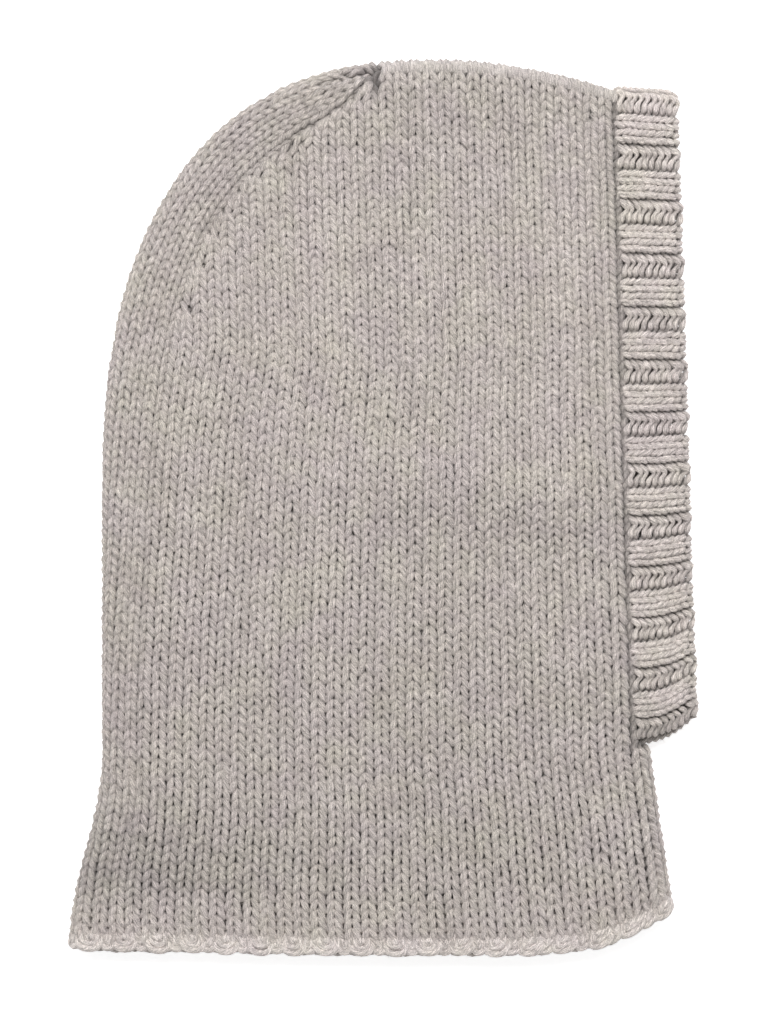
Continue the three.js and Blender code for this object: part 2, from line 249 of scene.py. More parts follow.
def knit_row(t, row, swing=0.245, height=2.05, depth=1.25, radius=1.62):
    """One row of knit stitches, t counting them. The yarn sways to and fro along the row and in and out of the
    cloth twice to a stitch, and up to the head and down to the foot of the loop once. It is pulled thin where
    it dives."""
    across = t + swing * np.sin(4 * np.pi * t) + wandering(t, UNEVEN_ACROSS)
    rise = row - height / 2 * np.cos(2 * np.pi * t) + wandering(t, UNEVEN_RISE)
    sunk = -depth * np.cos(4 * np.pi * t) + wandering(t, UNEVEN_DEPTH)
    easy = (0.5 - 0.5 * np.cos(4 * np.pi * t)) ** YARN_EASING
    thick = radius * mix(YARN_TIGHT, YARN_EASY, easy) * (1 + wandering(t, UNEVEN_THICK))
    return across, rise, sunk, thick


def yarn_strand(ground, out, sunk, thick, sides):
    """A round yarn. Its middle lies off the cloth's surface by the depth, and at each step a circle is laid
    across it, starting from the direction out of the cloth. Gives the corners, the length run at each step
    and how proud each corner stands."""
    centre = ground + out * sunk[:, None]
    ahead = np.gradient(centre, axis=0)
    length = np.concatenate([[0], np.cumsum(np.linalg.norm(np.diff(centre, axis=0), axis=1))])
    ahead /= np.linalg.norm(ahead, axis=1, keepdims=True)
    up = out - ahead * (out * ahead).sum(1, keepdims=True)
    up /= np.linalg.norm(up, axis=1, keepdims=True)
    beside = np.cross(ahead, up)
    turn = 2 * np.pi * np.arange(sides) / sides
    ring = up[:, None] * np.cos(turn)[:, None] + beside[:, None] * np.sin(turn)[:, None]
    corners = centre[:, None] + ring * thick[:, None, None]
    proud = sunk[:, None] + thick[:, None] * (ring * out[:, None]).sum(2)
    return corners, length + draws.uniform(0, YARN_START), proud


def yarn_piece(name, strands, sides, material, closed=False):
    """One mesh of many strands, each a skin of four-sided faces with a flat cap at both ends, or closed on
    itself. Nothing goes below the floor. Its yarn map runs along the yarn in millimetres and once round it,
    and its proud attribute is the height out of the cloth's middle, with painted light and shade added to it
    in places. The wool paints shade by it where the yarn lies low."""
    spots, faces, sizes, maps, heights = [], [], [], [], []
    first = 0
    for corners, length, proud in strands:
        steps = len(corners)
        step = np.arange(steps if closed else steps - 1)[:, None]
        side = np.arange(sides)[None]
        next_step, next_side = (step + 1) % steps, (side + 1) % sides
        ring = [step * sides + side, step * sides + next_side,
                next_step * sides + next_side, next_step * sides + side]
        faces.append(np.stack(ring, -1).ravel() + first)
        sizes.append(np.full(step.size * sides, 4))
        stride = np.linalg.norm(corners[step[:, 0], 0] - corners[next_step[:, 0], 0], axis=1)
        near = length[step] + 0 * side
        far = length[step] + stride[:, None] + 0 * side
        low, high = side / sides + 0 * step, (side + 1) / sides + 0 * step
        maps.append(np.stack([near, low, near, high, far, high, far, low], -1).reshape(-1, 2))
        if not closed:
            for end, order in ((0, -1), (steps - 1, 1)):
                faces.append((end * sides + np.arange(sides))[::order] + first)
                sizes.append(np.array([sides]))
                maps.append(np.stack([np.full(sides, length[end]), np.arange(sides)[::order] / sides], -1))
        spots.append(corners.reshape(-1, 3))
        heights.append(proud.ravel())
        first += steps * sides
    spots, faces, sizes = np.concatenate(spots) * MM, np.concatenate(faces), np.concatenate(sizes)
    spots[:, 2] = np.maximum(spots[:, 2], 0)
    maps, heights = np.concatenate(maps), np.concatenate(heights)
    mesh = bpy.data.meshes.new(name)
    mesh.vertices.add(len(spots))
    mesh.vertices.foreach_set("co", spots.astype(np.float32).ravel())
    mesh.loops.add(len(faces))
    mesh.loops.foreach_set("vertex_index", faces.astype(np.int32))
    mesh.polygons.add(len(sizes))
    mesh.polygons.foreach_set("loop_start", (np.cumsum(sizes) - sizes).astype(np.int32))
    mesh.polygons.foreach_set("loop_total", sizes.astype(np.int32))
    mesh.polygons.foreach_set("use_smooth", np.ones(len(sizes), bool))
    mesh.uv_layers.new(name="yarn").data.foreach_set("uv", maps.astype(np.float32).ravel())
    mesh.attributes.new("proud", "FLOAT", "POINT").data.foreach_set("value", heights.astype(np.float32))
    mesh.update(calc_edges=True)
    mesh.materials.append(material)
    piece = bpy.data.objects.new(name, mesh)
    bpy.context.scene.collection.objects.link(piece)
    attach(piece, "root")
    return piece


PATCH_SCALE, STAIN_SCALE, FLUFF_SCALE = 70, 40, 2500    # cells of noise to a metre
FIBRE_SCALE, FIBRE_STRETCH = 3.2, 0.125                 # cells round the yarn, and how they draw out along it
FLUFF_AMOUNT = 0.8
CREST_LOW, CREST_HIGH = -0.6, 2.7                       # how proud the yarn is where the shade starts and ends
HUE_MIDDLE, HUE_WANDER = 0.47, 0.06
PLY_HEIGHT, FIBRE_HEIGHT, FLUFF_HEIGHT = 0.55, 0.8, 0.5
COOL_AT, COOL_TINT = 0.38, (1.0, 0.97, 0.98, 1)
WARM_AT, WARM_TINT = 0.68, (1.0, 0.995, 0.93, 1)


def wool_group():
    """Heathered wool: soft patches a few stitches wide, pale and dark fibres that wind along the yarn, the
    grooves between its plies, and shade in the depth of the cloth. Gives a colour and a height."""
    group = bpy.data.node_groups.new("heathered wool", "ShaderNodeTree")
    for socket, kind, value in (("Colour", "NodeSocketColor", (0.46, 0.42, 0.39, 1)),
                                ("Patches", "NodeSocketFloat", 0.12), ("Fibres", "NodeSocketFloat", 1.3),
                                ("Shade", "NodeSocketFloat", 0.35), ("Plies", "NodeSocketFloat", 3.0),
                                ("Twist", "NodeSocketFloat", 0.05)):
        group.interface.new_socket(socket, in_out="INPUT", socket_type=kind).default_value = value
    group.interface.new_socket("Colour", in_out="OUTPUT", socket_type="NodeSocketColor")
    group.interface.new_socket("Height", in_out="OUTPUT", socket_type="NodeSocketFloat")
    nodes, links = group.nodes, group.links

    def node(kind, **settings):
        made = nodes.new(kind)
        for key, value in settings.items():
            setattr(made, key, value)
        return made

    def maths(operation, *values):
        made = node("ShaderNodeMath", operation=operation)
        for place, value in enumerate(values):
            if isinstance(value, (int, float)):
                made.inputs[place].default_value = value
            else:
                links.new(value, made.inputs[place])
        return made.outputs[0]

    def noise(vector, scale, detail, roughness=0.5):
        made = node("ShaderNodeTexNoise")
        made.inputs["Scale"].default_value = scale
        made.inputs["Detail"].default_value = detail
        made.inputs["Roughness"].default_value = roughness
        links.new(vector, made.inputs["Vector"])
        return made.outputs["Fac"]

    def around_one(value, amount):
        return maths("ADD", maths("MULTIPLY", maths("SUBTRACT", value, 0.5), maths("MULTIPLY", amount, 2)), 1)

    given = node("NodeGroupInput")
    result = node("NodeGroupOutput")
    yarn_map = node("ShaderNodeUVMap", uv_map="yarn")
    split = node("ShaderNodeSeparateXYZ")
    links.new(yarn_map.outputs[0], split.inputs[0])
    run, round_ = split.outputs[0], split.outputs[1]
    wound = maths("MULTIPLY", maths("ADD", round_, maths("MULTIPLY", run, given.outputs["Twist"])), 2 * np.pi)
    half_ply = maths("MULTIPLY", maths("MULTIPLY", wound, given.outputs["Plies"]), 0.5)
    ply = maths("ABSOLUTE", maths("SINE", half_ply))
    around = node("ShaderNodeCombineXYZ")
    links.new(maths("COSINE", wound), around.inputs[0])
    links.new(maths("SINE", wound), around.inputs[1])
    links.new(maths("MULTIPLY", run, FIBRE_STRETCH), around.inputs[2])
    place = node("ShaderNodeTexCoord").outputs["Object"]
    fibre = noise(around.outputs[0], FIBRE_SCALE, 4, 0.65)
    patch = noise(place, PATCH_SCALE, 3)
    fluff = noise(place, FLUFF_SCALE, 3)
    stain = noise(place, STAIN_SCALE, 5, 0.7)

    proud = node("ShaderNodeAttribute", attribute_name="proud")
    crest = node("ShaderNodeMapRange", interpolation_type="SMOOTHSTEP")
    crest.inputs["From Min"].default_value = CREST_LOW
    crest.inputs["From Max"].default_value = CREST_HIGH
    links.new(proud.outputs["Fac"], crest.inputs["Value"])
    shade = maths("MULTIPLY", given.outputs["Shade"], maths("SUBTRACT", 1, crest.outputs[0]))
    light = maths("MULTIPLY", around_one(patch, given.outputs["Patches"]),
                  around_one(fibre, given.outputs["Fibres"]))
    light = maths("MULTIPLY", light, around_one(fluff, FLUFF_AMOUNT))
    light = maths("MULTIPLY", light, maths("SUBTRACT", 1, shade))

    warmth = node("ShaderNodeValToRGB")
    for element, position, tint in zip(warmth.color_ramp.elements, (COOL_AT, WARM_AT), (COOL_TINT, WARM_TINT)):
        element.position = position
        element.color = tint
    links.new(stain, warmth.inputs[0])
    dyed = node("ShaderNodeMix", data_type="RGBA", blend_type="MULTIPLY")
    dyed.inputs["Factor"].default_value = 1
    links.new(given.outputs["Colour"], dyed.inputs["A"])
    links.new(warmth.outputs[0], dyed.inputs["B"])
    lit = node("ShaderNodeHueSaturation")
    links.new(dyed.outputs["Result"], lit.inputs["Color"])
    links.new(light, lit.inputs["Value"])
    links.new(maths("ADD", HUE_MIDDLE, maths("MULTIPLY", patch, HUE_WANDER)), lit.inputs["Hue"])
    links.new(lit.outputs[0], result.inputs["Colour"])
    height = maths("ADD", maths("MULTIPLY", ply, PLY_HEIGHT), maths("MULTIPLY", fibre, FIBRE_HEIGHT))
    links.new(maths("ADD", height, maths("MULTIPLY", fluff, FLUFF_HEIGHT)), result.inputs["Height"])
    return group


heathered = wool_group()


def wool(name, colour, fibres, shade):
    """A knitted wool: the heathered group's colour and height on a rough, softly sheened surface."""
    material = bpy.data.materials.new(name)
    material.use_nodes = True
    nodes, links = material.node_tree.nodes, material.node_tree.links
    surface = nodes["Principled BSDF"]
    surface.inputs["Roughness"].default_value = 0.95
    surface.inputs["Specular IOR Level"].default_value = 0.15
    surface.inputs["Sheen Weight"].default_value = 0.25
    surface.inputs["Sheen Roughness"].default_value = 0.6
    pattern = nodes.new("ShaderNodeGroup")
    pattern.node_tree = heathered
    pattern.inputs["Colour"].default_value = (*colour, 1)
    pattern.inputs["Fibres"].default_value = fibres
    pattern.inputs["Shade"].default_value = shade
    bump = nodes.new("ShaderNodeBump")
    bump.inputs["Strength"].default_value = 0.7
    bump.inputs["Distance"].default_value = 0.0008
    links.new(pattern.outputs["Colour"], surface.inputs["Base Color"])
    links.new(pattern.outputs["Height"], bump.inputs["Height"])
    links.new(bump.outputs["Normal"], surface.inputs["Normal"])
    return material


FIBRE_CONTRAST = 1.6
stocking_wool = wool("stocking stitch wool", (0.528, 0.485, 0.462), FIBRE_CONTRAST, 0.66)

YARN_SIDES = 6
UPPER_STEPS, LOWER_STEPS = 12, 8        # steps to a stitch of the layer that shows and the one below it
LIT_ROUNDS, PAINTED_HEM_LIGHT = 6, 2.0      # painted light: the first rounds are drawn lighter, fading out over this many rounds
LOW_BACK_SHADE_SPOT, LOW_BACK_PAINTED_SHADE = (-118, -150, 58, 34), 0.8   # painted shade low at the back: the yarn is drawn darker in this spot


def round_steps(upper, lower):
    """Stitch counts along a round, in fine steps over the upper layer and coarser ones over the lower."""
    return np.concatenate([np.arange(upper * UPPER_STEPS) / UPPER_STEPS,
                           upper + np.arange(lower * LOWER_STEPS) / LOWER_STEPS])


neck_t = round_steps(ROUND_STITCHES // 2, ROUND_STITCHES // 2)
neck_rows = []
for row in range(NECK_ROWS):
    across, rise, sunk, thick = knit_row(neck_t, row, swing=0.225, height=2.15, depth=1.35)
    ground, out = neck_place(np.mod(across, ROUND_STITCHES), rise)
    corners, length, proud = yarn_strand(ground, out, sunk, thick, YARN_SIDES)
    # painted shade low at the back
    darker = LOW_BACK_PAINTED_SHADE * spot(ground[:, 0], ground[:, 1], *LOW_BACK_SHADE_SPOT)
    # painted light: the first rounds are drawn lighter
    neck_rows.append((corners, length, proud + PAINTED_HEM_LIGHT * max(0, 1 - row / LIT_ROUNDS) - darker[:, None]))
neck = yarn_piece("neck_rounds", neck_rows, YARN_SIDES, stocking_wool, closed=True)
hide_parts("neck_tube")


# The back gusset
# Ten stitches up the middle of the back, knitted with the sides. They keep their number while the sides are
# decreased along both edges, short rows fill out the turn over the crown, and they narrow away at its point.
GUSSET_STITCHES = 10
GUSSET_STEPS = 11
GUSSET_YARN = 1.5
GUSSET_PITCH = 4.75                     # the widest that its rows stand apart along the outline
GUSSET_HALF, GUSSET_CLOSE = 22.5, 18.0  # half its width, and how soon it closes before the crown point
GUSSET_WIDE = GUSSET_HALF + QUARTER - FOLD
GUSSET_PAIR = 7.8                       # the least width that holds two of its stitches
UNTURNED_Y, UNTURNED_HIGH = -100.0, 170.0   # over this height the turn under at the nape comes out
EDGE_START, EDGE_SPARE, EDGE_POINTS = 40.0, 1.0, 600
SPARE_ROWS, ROW_STEPS = 4, 1001
CREASE_DEEP, CREASE_WIDE, CREASE_SLANT, CREASE_FADE, CREASE_LONG = 3.4, 1.3, 14.0, 1.3, 26.0
DECREASE_DIP, CROWN_DIP, DIP_STITCHES = 0.5, 1.5, 0.45      # how its first stitch sinks at the decrease line
CROWN_DIP_FROM, CROWN_DIP_OVER = 62.0, 30.0
# painted shade over the gusset towards the crown point: how much, how far before it it starts, and over what
# length it grows
GUSSET_SHADE, GUSSET_SHADE_FROM, GUSSET_SHADE_OVER = 0.5, 170.0, 140.0

outline_length = np.concatenate([[0], np.cumsum(np.hypot(np.diff(outline_x), np.diff(outline_y)))])
crown_length = np.interp(CROWN_POINT_X, outline_x[BACK_POINTS:], outline_length[BACK_POINTS:])


def on_back_fold(length, arc):
    """A place by its length up the outline and its arc from it, over the upper layer or, negative, the lower
    one. The cloth turns round a half circle there and runs flat beyond."""
    bend = np.clip(arc, -QUARTER, QUARTER) / FOLD
    plan = FOLD * (1 - np.cos(bend)) + np.maximum(0, np.abs(arc) - QUARTER)
    in_x = np.interp(length, outline_length, inward_x)
    in_y = np.interp(length, outline_length, inward_y)
    x = np.interp(length, outline_length, outline_x) + in_x * plan
    y = np.interp(length, outline_length, outline_y) + in_y * plan
    return placed(x, y, FOLD + FOLD * np.sin(bend), -in_x * np.cos(bend), -in_y * np.cos(bend), np.sin(bend))


def gusset_edges(length):
    """Both edges as arcs from the outline. They stand even up the back, turned under a little at the nape, and
    close on the seam as an exponential of the length left to the crown point."""
    opened = 1 - np.exp(-np.maximum(0, crown_length - length) / GUSSET_CLOSE)
    level = np.interp(length, outline_length, outline_y)
    turned = BACK_TURN * (1 - smooth((level - UNTURNED_Y) / UNTURNED_HIGH))
    return (SEAM_ARC + (GUSSET_WIDE - SEAM_ARC) * opened - turned,
            SEAM_ARC - (GUSSET_WIDE + SEAM_ARC) * opened - turned)


def unrolled(ground, arc):
    """Level of a place of an edge, rolled back flat from the top fold."""
    return np.where(arc < QUARTER, top_at(ground[..., 0]) - FOLD + QUARTER - arc, ground[..., 1])


edge_length = np.linspace(EDGE_START, crown_length - EDGE_SPARE, EDGE_POINTS)
upper_arc, lower_arc = gusset_edges(edge_length)
upper_edge = on_back_fold(edge_length, upper_arc)[0]
lower_edge = on_back_fold(edge_length, lower_arc)[0]
upper_edge_level = unrolled(upper_edge, upper_arc)
lower_edge_level = unrolled(lower_edge, -lower_arc)

# The row that each point of the upper edge has reached, always climbing.
row_steps = np.linspace(-SPARE_ROWS, ROW_COUNT + SPARE_ROWS, ROW_STEPS)
climbed = row_level(upper_edge[:, :1], row_steps[None]) < upper_edge_level[:, None]
edge_row = np.maximum.accumulate(np.interp(climbed.sum(1), np.arange(ROW_STEPS), row_steps))
edge_row = edge_row + np.linspace(0, 1e-6, EDGE_POINTS)

# The gusset's own count of rows, short rows among them.
row_density = np.maximum(np.gradient(edge_row, edge_length), 1 / GUSSET_PITCH)
row_growth = (row_density[1:] + row_density[:-1]) / 2 * np.diff(edge_length)
gusset_count = edge_row[0] + np.concatenate([[0], np.cumsum(row_growth)])


def gusset_place(stitch, row, count):
    """A place of the gusset: its rows lie straight across the outline. Near the crown point a crease sinks
    into it, in line with the seam, as a Gaussian across it."""
    length = np.interp(row, gusset_count, edge_length)
    upper, lower = gusset_edges(length)
    arc = mix(upper, lower, stitch / count)
    left = crown_length - length
    across_it = (arc - SEAM_ARC - left / CREASE_SLANT) / CREASE_WIDE
    crease = -CREASE_DEEP * np.exp(-across_it ** 2) * smooth(CREASE_FADE - left / CREASE_LONG)
    ground, out = on_back_fold(length, arc)
    return ground + out * crease[:, None], out


gusset_rows = []
for row in range(NECK_ROWS, int(gusset_count[-1])):
    reached = np.interp(row, gusset_count, edge_length)
    left = crown_length - reached
    upper, lower = gusset_edges(reached)
    count = int(np.clip(2 * np.floor((upper - lower) / GUSSET_PAIR), 2, GUSSET_STITCHES))
    t = np.arange(count * GUSSET_STEPS + 1) / GUSSET_STEPS
    across, rise, sunk, thick = knit_row(t, row, radius=GUSSET_YARN)
    dip = mix(DECREASE_DIP, CROWN_DIP, smooth((CROWN_DIP_FROM - left) / CROWN_DIP_OVER))
    sunk = sunk - dip * np.exp(-(t / DIP_STITCHES) ** 2)
    ground, out = gusset_place(across, rise, count)
    corners, length, proud = yarn_strand(ground, out, sunk, thick, YARN_SIDES)
    # painted shade: the rows are drawn darker towards the crown point
    shaded = GUSSET_SHADE * smooth((GUSSET_SHADE_FROM - left) / GUSSET_SHADE_OVER)
    gusset_rows.append((corners, length, proud - shaded))
# painted shade: a slightly darker copy of the stocking stitch wool
gusset_shaded_wool = wool("gusset wool with painted shade", (0.522, 0.478, 0.456), FIBRE_CONTRAST, 0.66)
gusset = yarn_piece("gusset_rows", gusset_rows, YARN_SIDES, gusset_shaded_wool)
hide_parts("back_gusset")


# The sides of the hood
# Thirty-one stitches on each side at the chin, knitted with the gusset. A stitch is lost beside the gusset
# every few rows over the crown, until about half are left for the seam.
SIDE_STITCHES = 31
SIDE_STITCH = 6.15                      # a stitch over the crown, where the sides are decreased
SIDE_STEPS_UNDER, SIDE_YARN_UNDER = 7, 5    # the lower side's steps to a stitch and sides to a yarn
LAST_ROW = ROW_COUNT - 1
CROWN_START = 54                        # the row that starts the upper side's second mesh
FACE_TOP, FACE_BOTTOM, FACE_TOP_X, FACE_BOTTOM_X, FACE_BOW = 176.2, -100.6, 99.6, 107.6, 0.2
FACE_LEVEL_X, FACE_TUCK = 103.0, 0.5
FACE_DIP, FACE_DIP_STITCHES = 1.9, 0.55
TOP_FOLD_X = CROWN_POINT_X - 8          # the sides turn over the top fold from here to the brow
LONGER_FROM, LONGER_POWER = 20, 1.2     # the lower side is longer, because it wraps over the top to the seam
HOLE_SPOT, HOLE_DEEP, HOLE_PAINTED_SHADE = (-2.9, 178.5, 1.5, 3.2), 4.5, 1.2    # a small hole beside the crown point, sunk in and darkened with painted shade
# painted shade over the crown: how much, the row it starts from and the rows it grows over
CROWN_SHADE, CROWN_SHADE_ROW, CROWN_SHADE_ROWS = 0.35, 74, 12


def edge_at(row, values):
    """A value of the gusset's edge at a row."""
    return np.interp(row, edge_row, values)


def face_edge(y):
    """X of the hood's front edge: a shallow bow between the chin and the brow."""
    t = np.clip((y - FACE_BOTTOM) / (FACE_TOP - FACE_BOTTOM), 0, 1)
    return mix(FACE_BOTTOM_X, FACE_TOP_X, t) - FACE_BOW * 4 * t * (1 - t)


def rolled(x, level, side):
    """A place by its x and its unrolled level, turned over the fold along the top."""
    start = top_at(x) - FOLD
    bend = np.where(x < TOP_FOLD_X, 0, np.maximum(0, level - start) / FOLD)
    y = np.where(bend > 0, start + FOLD * np.sin(bend), level)
    return placed(x, y, FOLD + side * FOLD * np.cos(bend), 0.0, np.sin(bend), side * np.cos(bend))


def side_span(row, side):
    """Where a row of a side starts at the face, where it ends at the gusset, and how wide its stitches are: the
    whole number shares the row out evenly, until they would be narrower than over the crown."""
    edge = edge_at(row, (upper_edge if side > 0 else lower_edge)[:, 0])
    front = face_edge(row_level(FACE_LEVEL_X, row)) - FACE_TUCK
    return front, edge, np.maximum((front - edge) / SIDE_STITCHES, SIDE_STITCH)


def side_place(stitch, row, count, side):
    """A place of a side by its stitch, counted from the face, and its row. Over the crown the last stitch takes
    what is left before the gusset."""
    front, edge, pitch = side_span(row, side)
    wide = front - edge
    even = count - 1
    last = mix(even * pitch, wide, (stitch - even) / (count - even))
    x = front - np.where(stitch < even, stitch * pitch, last)
    level = row_level(x, row)
    if side < 0:
        missed = edge_at(row, lower_edge_level) - row_level(edge, row)
        longer = 2 * SEAM_ARC * smooth((row - LONGER_FROM) / (LAST_ROW - LONGER_FROM)) ** LONGER_POWER
        level = level + mix(missed, longer, smooth((x - edge) / wide))
    return rolled(x, level, side)


def side_rows(side, steps, sides):
    """The rows of one side, each knitted from the face to the gusset. The edge stitch at the face dips to its
    seam, and on the upper side the small hole sinks in."""
    made = []
    for row in range(NECK_ROWS, ROW_COUNT):
        front, edge, pitch = side_span(row, side)
        count = int(round((front - edge) / pitch))
        t = np.arange(count * steps + 1) / steps
        across, rise, sunk, thick = knit_row(t, row)
        ground, out = side_place(across, rise, count, side)
        hole = HOLE_DEEP * spot(ground[:, 0], ground[:, 1], *HOLE_SPOT) * (side > 0)
        sunk = sunk - FACE_DIP * np.exp(-(t / FACE_DIP_STITCHES) ** 2) - hole
        corners, length, proud = yarn_strand(ground, out, sunk, thick, sides)
        # painted shade: the last rows over the crown are drawn darker
        shaded = CROWN_SHADE * smooth((row - CROWN_SHADE_ROW) / CROWN_SHADE_ROWS)
        # painted shade in the hole, as well as its sinking in
        made.append((corners, length, proud - shaded - HOLE_PAINTED_SHADE * hole[:, None]))
    return made


right_rows = side_rows(1, UPPER_STEPS, YARN_SIDES)
split_at = CROWN_START - NECK_ROWS
right_low = yarn_piece("right_side_rows", right_rows[:split_at], YARN_SIDES, stocking_wool)
right_high = yarn_piece("right_crown_rows", right_rows[split_at:], YARN_SIDES, stocking_wool)
left_rows = side_rows(-1, SIDE_STEPS_UNDER, SIDE_YARN_UNDER)
left_side = yarn_piece("left_side_rows", left_rows, SIDE_YARN_UNDER, stocking_wool)
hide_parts("right_side")
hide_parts("right_side")
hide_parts("left_side")


# The crown seam
# The last rows of both sides are drawn together by one yarn whipped over them, from the crown point to the
# brow. It covers the top fold in close upright strokes, with a crease under it.
SEAM_RADIUS = 1.65
SEAM_START, SEAM_END = CROWN_POINT_X + 1.5, BROW_X - 0.5
WHIP_PITCH, WHIP_STEPS = 1.9, 12
WHIP_RISE, WHIP_SWING = 1.5, 3.1        # how far above the seam the strokes are centred, and their reach
WHIP_DEPTH, WHIP_SUNK, WHIP_UNEVEN = 1.3, 0.3, 0.1

whip_count = (SEAM_END - SEAM_START) / WHIP_PITCH
seam_t = np.arange(int(whip_count * WHIP_STEPS)) / WHIP_STEPS
seam_x = SEAM_START + seam_t * WHIP_PITCH
turn = 2 * np.pi * seam_t
level = top_at(seam_x) - FOLD + QUARTER - SEAM_ARC + WHIP_RISE + WHIP_SWING * np.sin(turn)
ground, out = rolled(seam_x, level, 1)
sunk = WHIP_DEPTH * np.cos(turn) - WHIP_SUNK + wandering(seam_t, WHIP_UNEVEN)
seam_strand = yarn_strand(ground, out, sunk, np.full(len(seam_t), SEAM_RADIUS), YARN_SIDES)
# painted shade: a darker copy of the stocking stitch wool
seam_shaded_wool = wool("seaming wool with painted shade", (0.50, 0.465, 0.447), FIBRE_CONTRAST, 0.4)
seam = yarn_piece("crown_seam_yarn", [seam_strand], YARN_SIDES, seam_shaded_wool)
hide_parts("crown_seam")


# The face band
# A hundred stitches picked up round the whole face opening and ribbed two and two, nine rows deep. It lies
# folded flat like the hood, with its cast-off edge curling under.
BAND_STITCHES, BAND_ROWS, BAND_PITCH = 100, 9, 2.8
BAND_UPPER = 51                         # stitches that are given the upper layer's steps
BAND_TURN, BAND_OFFSET = 50.66, 0.56    # where the count turns under at the brow, and its shift at the chin
BAND_SHARE, BAND_SHARE_GROWTH = 0.0188, 1.85e-5     # an upper stitch's share of the layer, which grows
BAND_BOTTOM_X, BAND_TOP_X, BAND_TUCK = 132.6, 124.6, 1.2
BAND_FIRST = -0.1                       # how far before the face edge the first row may reach
CHIN_SWEEP, CHIN_SWEEP_POWER, BROW_SWEEP, BROW_TIP = 11.2, 2.3, 1.8, 2.4
RIB_RISE, RIB_DRAWN, RIB_START = 0.8, 1.0, 1.5
CURL_ROW, CURL_RADIUS = 8.3, 1.7
KNIT_EDGE = 0.15                        # how much of a stitch the change from knit to purl takes
EDGE_HEIGHT = 0.7                       # height of the knit stitches in the rows that curl
PURL_BOW, PURL_BOW_AT, PURL_SLANT = 0.40, 3.2, 0.14
PURL_SUNK, PURL_DIVE, PURL_ARCH = 0.3, 0.75, 0.45
PURL_THICK, PURL_THICK_FIRST, PURL_THIN = 1.2, 1.32, 0.22
PURL_UNEVEN_BOW, PURL_UNEVEN_DIVE, PURL_UNEVEN_THICK = 0.10, 0.25, 0.10
BROW_LIGHT_FROM, CHIN_SHADE_FROM, BAND_SHADE_OVER, BAND_SHADE = 158.0, -82.0, 14.0, 0.9     # painted light at the brow, painted shade at the chin


def band_place(stitch, row):
    """A place of the band by its stitch, counted from the chin over the upper layer and back along the lower
    one, and its row. The knit ribs stand proud, are drawn in at the edge, and the edge curls in on a small
    circle. The ends sweep up at the chin and down at the brow as powers of the height."""
    wide = np.clip(np.minimum(row, CURL_ROW) / BAND_ROWS, BAND_FIRST, 1)
    top = FACE_TOP - WALL / 2
    bottom = FACE_BOTTOM + WALL / 2
    flat = top - bottom - 2 * FOLD
    total = 2 * (flat + 2 * QUARTER)
    counted = np.mod(stitch + BAND_OFFSET, BAND_STITCHES)
    below = np.where(counted >= BAND_TURN, -1, 1)
    share = np.where(below < 0, (counted - BAND_TURN) / (BAND_STITCHES - BAND_TURN),
                     BAND_SHARE * counted + BAND_SHARE_GROWTH * counted ** 2)
    run = np.clip(share, 0, 1) * total / 2
    bend = np.maximum(0, run - flat) / FOLD
    rib = np.cos(np.pi / 2 * (stitch - 1)) * smooth(row / RIB_START)
    radius = FOLD + RIB_RISE * rib
    y = (top + bottom) / 2 + below * (np.minimum(run, flat) - flat / 2 + radius * np.sin(bend))
    lifted = np.where(below * np.cos(bend) < 0, RIB_RISE * np.abs(np.cos(bend)), 0)
    t = np.clip((y - bottom) / (top - bottom), 0, 1)
    chin = CHIN_SWEEP * np.maximum(wide, 0) ** CHIN_SWEEP_POWER * (1 - t) ** 4
    y = y + chin - BROW_SWEEP * wide * t ** 4 + BROW_TIP * t ** 10
    edge = mix(BAND_BOTTOM_X, BAND_TOP_X, t) - RIB_DRAWN * (1 + rib) / 2 - BAND_TUCK
    curl = np.clip(row - CURL_ROW, 0, None) * BAND_PITCH / CURL_RADIUS
    sunk = CURL_RADIUS * (1 - np.cos(curl))
    x = mix(face_edge(y), edge, wide) + CURL_RADIUS * np.sin(curl)
    height = FOLD + below * (radius - sunk) * np.cos(bend) + lifted
    return placed(x, y - sunk * below * np.sin(bend), height, np.sin(curl),
                  below * np.sin(bend) * np.cos(curl), below * np.cos(bend) * np.cos(curl))


def rib_row(t, row):
    """A row of ribbing, two stitches knit and two purl. Of a purl pair only one bowed stroke shows, which dives
    under the ribs at both ends. In the first row, picked up along the edge, the purls are plumper."""
    across, rise, sunk, thick = knit_row(t, row, swing=0.22, height=2.0, depth=1.0, radius=1.45)
    knit = np.clip(0.5 + 0.5 * np.sin(np.pi / 2 * t) / np.sin(np.pi / 2 * KNIT_EDGE), 0, 1)
    rise = row + (rise - row) * (EDGE_HEIGHT if row > CURL_ROW - 1 else 1)
    bowed = (row + PURL_BOW * np.cos(np.pi * (t - PURL_BOW_AT)) + PURL_SLANT * np.sin(2 * np.pi * t)
             + wandering(t, PURL_UNEVEN_BOW))
    dived = (PURL_SUNK - PURL_DIVE * np.cos(np.pi * t) - PURL_ARCH * np.cos(2 * np.pi * t)
             + wandering(t, PURL_UNEVEN_DIVE))
    plump = ((PURL_THICK_FIRST if row == 0 else PURL_THICK) - PURL_THIN * np.cos(2 * np.pi * t)
             + wandering(t, PURL_UNEVEN_THICK))
    return mix(t, across, knit), mix(bowed, rise, knit), mix(dived, sunk, knit), mix(plump, thick, knit)


